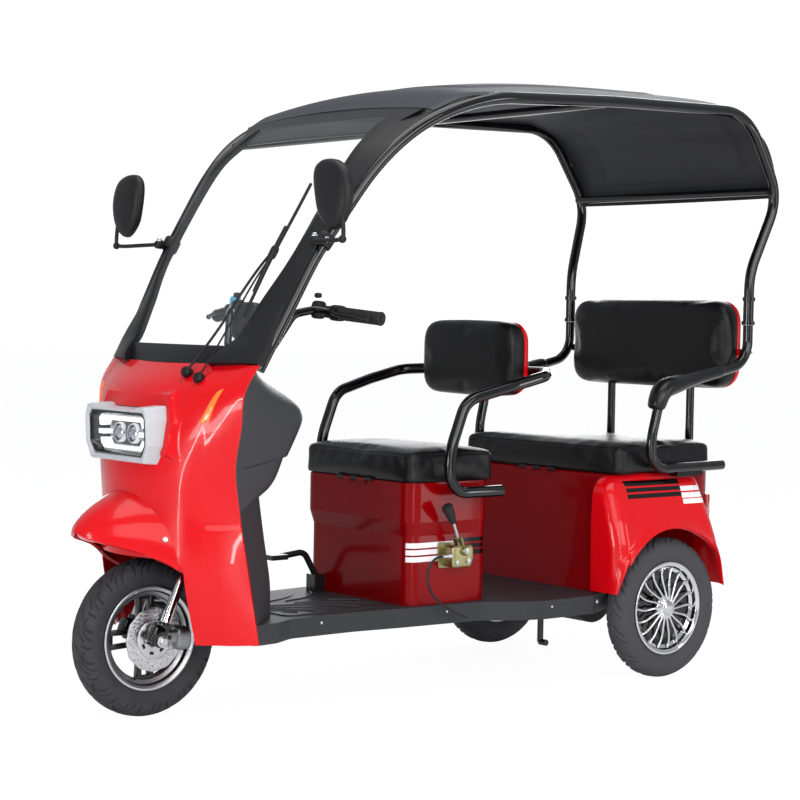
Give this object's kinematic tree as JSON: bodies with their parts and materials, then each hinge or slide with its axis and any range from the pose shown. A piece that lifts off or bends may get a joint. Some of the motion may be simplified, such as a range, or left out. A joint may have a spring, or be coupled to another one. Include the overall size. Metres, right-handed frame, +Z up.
{
  "type": "electric passenger tricycle",
  "caption": "Electric passenger tricycle with scooter front, hinged driver seat and rear bench over storage, windscreen and roof on a tube frame.",
  "frame": {"origin": "on the ground under the middle of the overall length and width", "axes": "+X forward, +Y to the left, +Z up"},
  "size_m": [2.2222, 1.0808, 1.734],
  "materials": {
    "frame_paint": "satin",
    "floor_plastic": "textured satin",
    "red_paint": "high gloss",
    "silver_trim": "satin silver",
    "lamp_inside": "bright",
    "clear_lens": "clear",
    "amber_lens": "gloss",
    "grey_plastic": "satin",
    "screen_glass": "clear",
    "black_plastic": "satin",
    "tube_paint": "gloss black",
    "roof_plastic": "satin",
    "seat_vinyl": "satin vinyl",
    "pad_foam": "satin",
    "battery_case": "matt",
    "axle_iron": "painted",
    "shock_steel": "satin",
    "zinc_plate": "yellow zinc",
    "cable_sheath": "satin",
    "fork_steel": "polished",
    "caliper_alloy": "cast",
    "grip_rubber": "matt",
    "lever_alloy": "black anodised",
    "tyre_rubber": "matt",
    "black_alloy": "black with polished lip",
    "disc_steel": "brushed",
    "rear_alloy": "bright spokes on black"
  },
  "bodies": {
    "chassis": {"chassis_frame": "frame_paint", "floor_pan": "floor_plastic", "front_cowl": "red_paint", "front_mudguard": "red_paint", "headlight_bezel": "silver_trim", "headlight_unit": "lamp_inside", "headlight_lens": "clear_lens", "marker_lamps": "amber_lens", "leg_shield": "grey_plastic", "glovebox": "grey_plastic", "windscreen": "screen_glass", "screen_frame": "black_plastic", "roof_frame": "tube_paint", "roof_panel": "roof_plastic", "front_seat_box": "red_paint", "front_arm_rail": "tube_paint", "front_backrest": "seat_vinyl", "front_backrest_shell": "red_paint", "rear_body": "red_paint", "rear_fenders": "red_paint", "rear_arms": "tube_paint", "armrest_pads": "pad_foam", "rear_backrest": "seat_vinyl", "rear_backrest_shell": "red_paint", "backrest_posts": "tube_paint", "battery_pack": "battery_case", "rear_axle": "axle_iron", "rear_shocks": "shock_steel", "brake_pedal": "frame_paint", "parking_brake": "zinc_plate", "parking_brake_cable": "cable_sheath", "mirrors": "black_plastic", "wiper": "black_plastic"},
    "steering": {"fork": "fork_steel", "brake_caliper": "caliper_alloy", "handlebar": "tube_paint", "grips": "grip_rubber", "brake_levers": "lever_alloy", "instrument_pod": "black_plastic"},
    "front_wheel": {"front_tyre": "tyre_rubber", "front_rim": "black_alloy", "front_disc": "disc_steel"},
    "rear_wheel_left": {"rear_tyre_left": "tyre_rubber", "rear_rim_left": "rear_alloy"},
    "rear_wheel_right": {"rear_tyre_right": "tyre_rubber", "rear_rim_right": "rear_alloy"},
    "front_seat_lid": {"front_seat_cushion": "seat_vinyl", "front_seat_base": "black_plastic"},
    "rear_seat_lid": {"rear_seat_cushion": "seat_vinyl", "rear_seat_base": "black_plastic"}
  },
  "joints": [
    {"name": "steering_turn", "type": "hinge", "parent": "chassis", "child": "steering", "pos_m": [0.76274, 0, 0.49175], "axis": [-0.3907, 0, 0.9205], "range_deg": [-30, 30]},
    {"name": "front_wheel_spin", "type": "hinge", "parent": "steering", "child": "front_wheel", "pos_m": [0.90619, 0, 0.205], "axis": [0, 1, 0], "continuous": true},
    {"name": "rear_wheel_left_spin", "type": "hinge", "parent": "chassis", "child": "rear_wheel_left", "pos_m": [-0.63881, 0.366, 0.205], "axis": [0, 1, 0], "continuous": true},
    {"name": "rear_wheel_right_spin", "type": "hinge", "parent": "chassis", "child": "rear_wheel_right", "pos_m": [-0.63881, -0.366, 0.205], "axis": [0, 1, 0], "continuous": true},
    {"name": "front_seat_hinge", "type": "hinge", "parent": "chassis", "child": "front_seat_lid", "pos_m": [0.22369, 0, 0.591], "axis": [0, 1, 0], "range_deg": [0, 75]},
    {"name": "rear_seat_hinge", "type": "hinge", "parent": "chassis", "child": "rear_seat_lid", "pos_m": [-0.47631, 0, 0.595], "axis": [0, 1, 0], "range_deg": [0, 75]}
  ]
}
